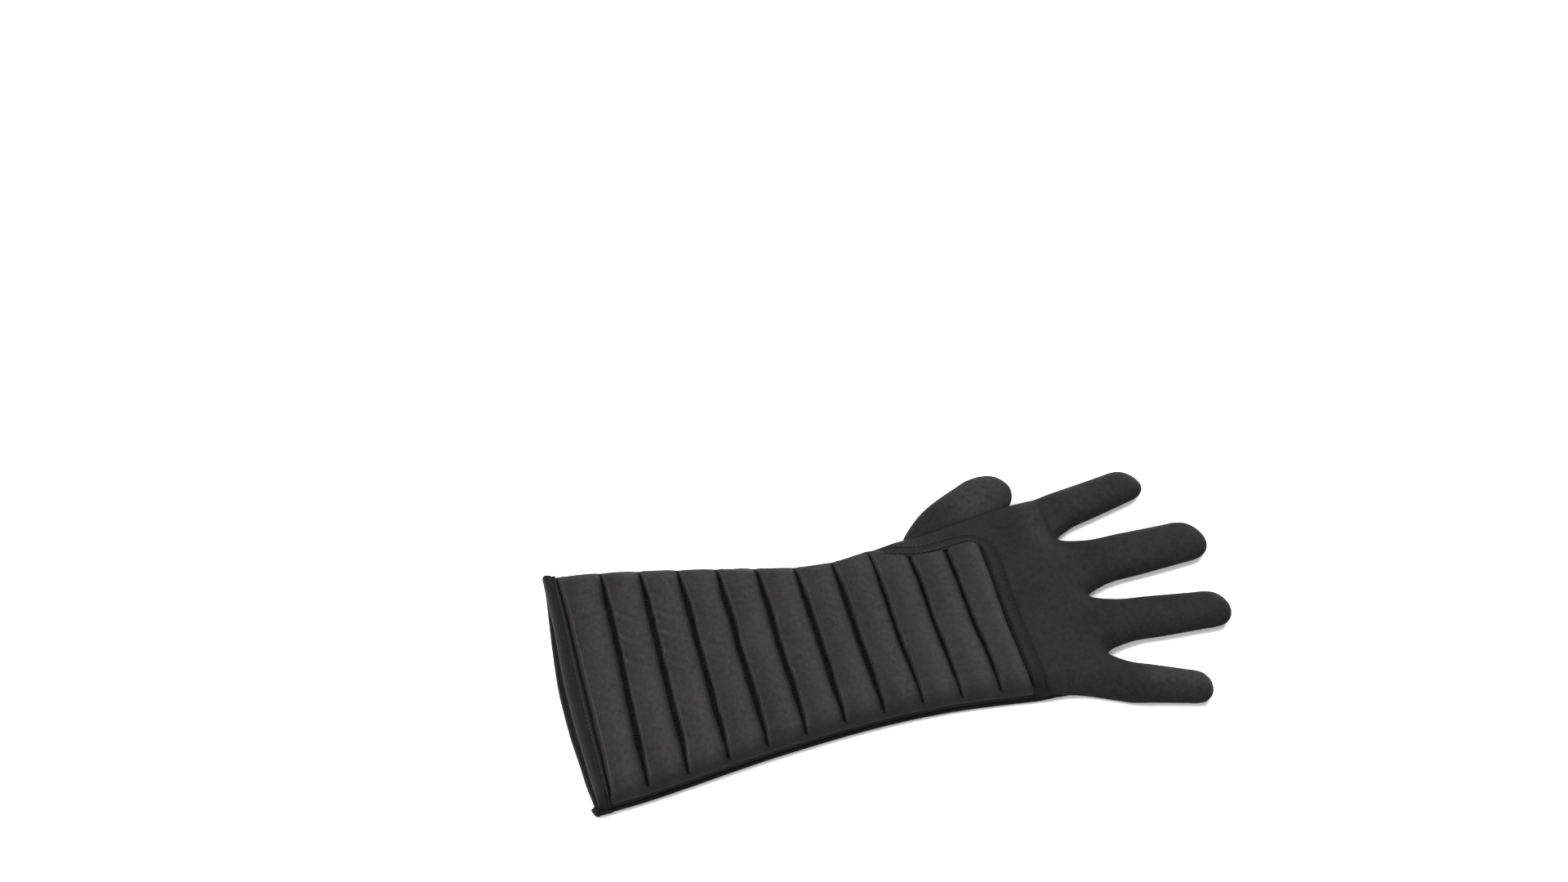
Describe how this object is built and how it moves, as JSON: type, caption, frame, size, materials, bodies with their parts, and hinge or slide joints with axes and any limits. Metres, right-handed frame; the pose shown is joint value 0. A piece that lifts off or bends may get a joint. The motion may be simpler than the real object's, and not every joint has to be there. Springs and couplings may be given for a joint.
{
  "type": "heat resistant glove",
  "caption": "Long right-hand gauntlet glove with a quilted back, bound mouth, smooth palm and lining; wrist, fingers and thumb bend.",
  "frame": {"origin": "under the middle of the glove's bounding box, on the surface that it lies on palm down", "axes": "+X towards the fingertips, +Y towards the thumb, +Z out of the back of the hand"},
  "size_m": [0.376, 0.1814, 0.0215],
  "materials": {
    "quilt_fabric": "satin",
    "smooth_fabric": "satin",
    "binding_tape": "satin",
    "seam_piping": "satin",
    "lining_fabric": "matte"
  },
  "bodies": {
    "hand": {"hand_palm_panel": "smooth_fabric", "hand_back_panel": "smooth_fabric", "hand_lining": "lining_fabric", "hand_seam_thumb_side": "seam_piping", "hand_seam_little_side": "seam_piping", "quilt_end_binding": "binding_tape", "thumb_gusset": "smooth_fabric", "thumb_seam": "seam_piping", "quilt_rib_08": "quilt_fabric", "quilt_rib_09": "quilt_fabric", "quilt_rib_10": "quilt_fabric", "quilt_rib_11": "quilt_fabric"},
    "gauntlet": {"gauntlet_palm_panel": "smooth_fabric", "gauntlet_back_panel": "quilt_fabric", "gauntlet_lining": "lining_fabric", "gauntlet_seam_thumb_side": "seam_piping", "gauntlet_seam_little_side": "seam_piping", "mouth_binding_palm": "binding_tape", "mouth_binding_back": "binding_tape", "quilt_rib_01": "quilt_fabric", "quilt_rib_02": "quilt_fabric", "quilt_rib_03": "quilt_fabric", "quilt_rib_04": "quilt_fabric", "quilt_rib_05": "quilt_fabric", "quilt_rib_06": "quilt_fabric", "quilt_rib_07": "quilt_fabric"},
    "index_base": {"index_base_palm": "smooth_fabric", "index_base_back": "smooth_fabric", "index_base_lining": "lining_fabric"},
    "index_tip": {"index_tip_palm": "smooth_fabric", "index_tip_back": "smooth_fabric", "index_tip_lining": "lining_fabric"},
    "middle_base": {"middle_base_palm": "smooth_fabric", "middle_base_back": "smooth_fabric", "middle_base_lining": "lining_fabric"},
    "middle_tip": {"middle_tip_palm": "smooth_fabric", "middle_tip_back": "smooth_fabric", "middle_tip_lining": "lining_fabric"},
    "ring_base": {"ring_base_palm": "smooth_fabric", "ring_base_back": "smooth_fabric", "ring_base_lining": "lining_fabric"},
    "ring_tip": {"ring_tip_palm": "smooth_fabric", "ring_tip_back": "smooth_fabric", "ring_tip_lining": "lining_fabric"},
    "little_base": {"little_base_palm": "smooth_fabric", "little_base_back": "smooth_fabric", "little_base_lining": "lining_fabric"},
    "little_tip": {"little_tip_palm": "smooth_fabric", "little_tip_back": "smooth_fabric", "little_tip_lining": "lining_fabric"},
    "thumb_base": {"thumb_base_palm": "smooth_fabric", "thumb_base_back": "smooth_fabric", "thumb_base_lining": "lining_fabric"},
    "thumb_tip": {"thumb_tip_palm": "smooth_fabric", "thumb_tip_back": "smooth_fabric", "thumb_tip_lining": "lining_fabric"}
  },
  "joints": [
    {"name": "wrist_bend", "type": "hinge", "parent": "hand", "child": "gauntlet", "pos_m": [-0.0245, -0.0049, 0.0085], "axis": [0, 1, 0], "range_deg": [-45, 45]},
    {"name": "index_root_bend", "type": "hinge", "parent": "hand", "child": "index_base", "pos_m": [0.1055, 0.0491, 0.0048], "axis": [-0.2436, 0.9699, 0], "range_deg": [-25, 85]},
    {"name": "index_middle_bend", "type": "hinge", "parent": "index_base", "child": "index_tip", "pos_m": [0.13445, 0.05637, 0.0048], "axis": [-0.2436, 0.9699, 0], "range_deg": [0, 90]},
    {"name": "middle_root_bend", "type": "hinge", "parent": "hand", "child": "middle_base", "pos_m": [0.1115, 0.0106, 0.0048], "axis": [-0.0645, 0.9979, 0], "range_deg": [-25, 85]},
    {"name": "middle_middle_bend", "type": "hinge", "parent": "middle_base", "child": "middle_tip", "pos_m": [0.14747, 0.01293, 0.0048], "axis": [-0.0645, 0.9979, 0], "range_deg": [0, 90]},
    {"name": "ring_root_bend", "type": "hinge", "parent": "hand", "child": "ring_base", "pos_m": [0.1115, -0.0304, 0.0048], "axis": [0.0645, 0.9979, 0], "range_deg": [-25, 85]},
    {"name": "ring_middle_bend", "type": "hinge", "parent": "ring_base", "child": "ring_tip", "pos_m": [0.14433, -0.03252, 0.0048], "axis": [0.0645, 0.9979, 0], "range_deg": [0, 90]},
    {"name": "little_root_bend", "type": "hinge", "parent": "hand", "child": "little_base", "pos_m": [0.1035, -0.0684, 0.0048], "axis": [0.3123, 0.95, 0], "range_deg": [-25, 85]},
    {"name": "little_middle_bend", "type": "hinge", "parent": "little_base", "child": "little_tip", "pos_m": [0.1256, -0.07567, 0.0048], "axis": [0.3123, 0.95, 0], "range_deg": [0, 90]},
    {"name": "thumb_root_bend", "type": "hinge", "parent": "hand", "child": "thumb_base", "pos_m": [0.0355, 0.0411, 0.0038], "axis": [-0.682, 0.7314, 0], "range_deg": [0, 70]},
    {"name": "thumb_middle_bend", "type": "hinge", "parent": "thumb_base", "child": "thumb_tip", "pos_m": [0.06108, 0.06496, 0.0038], "axis": [-0.682, 0.7314, 0], "range_deg": [0, 60]}
  ]
}
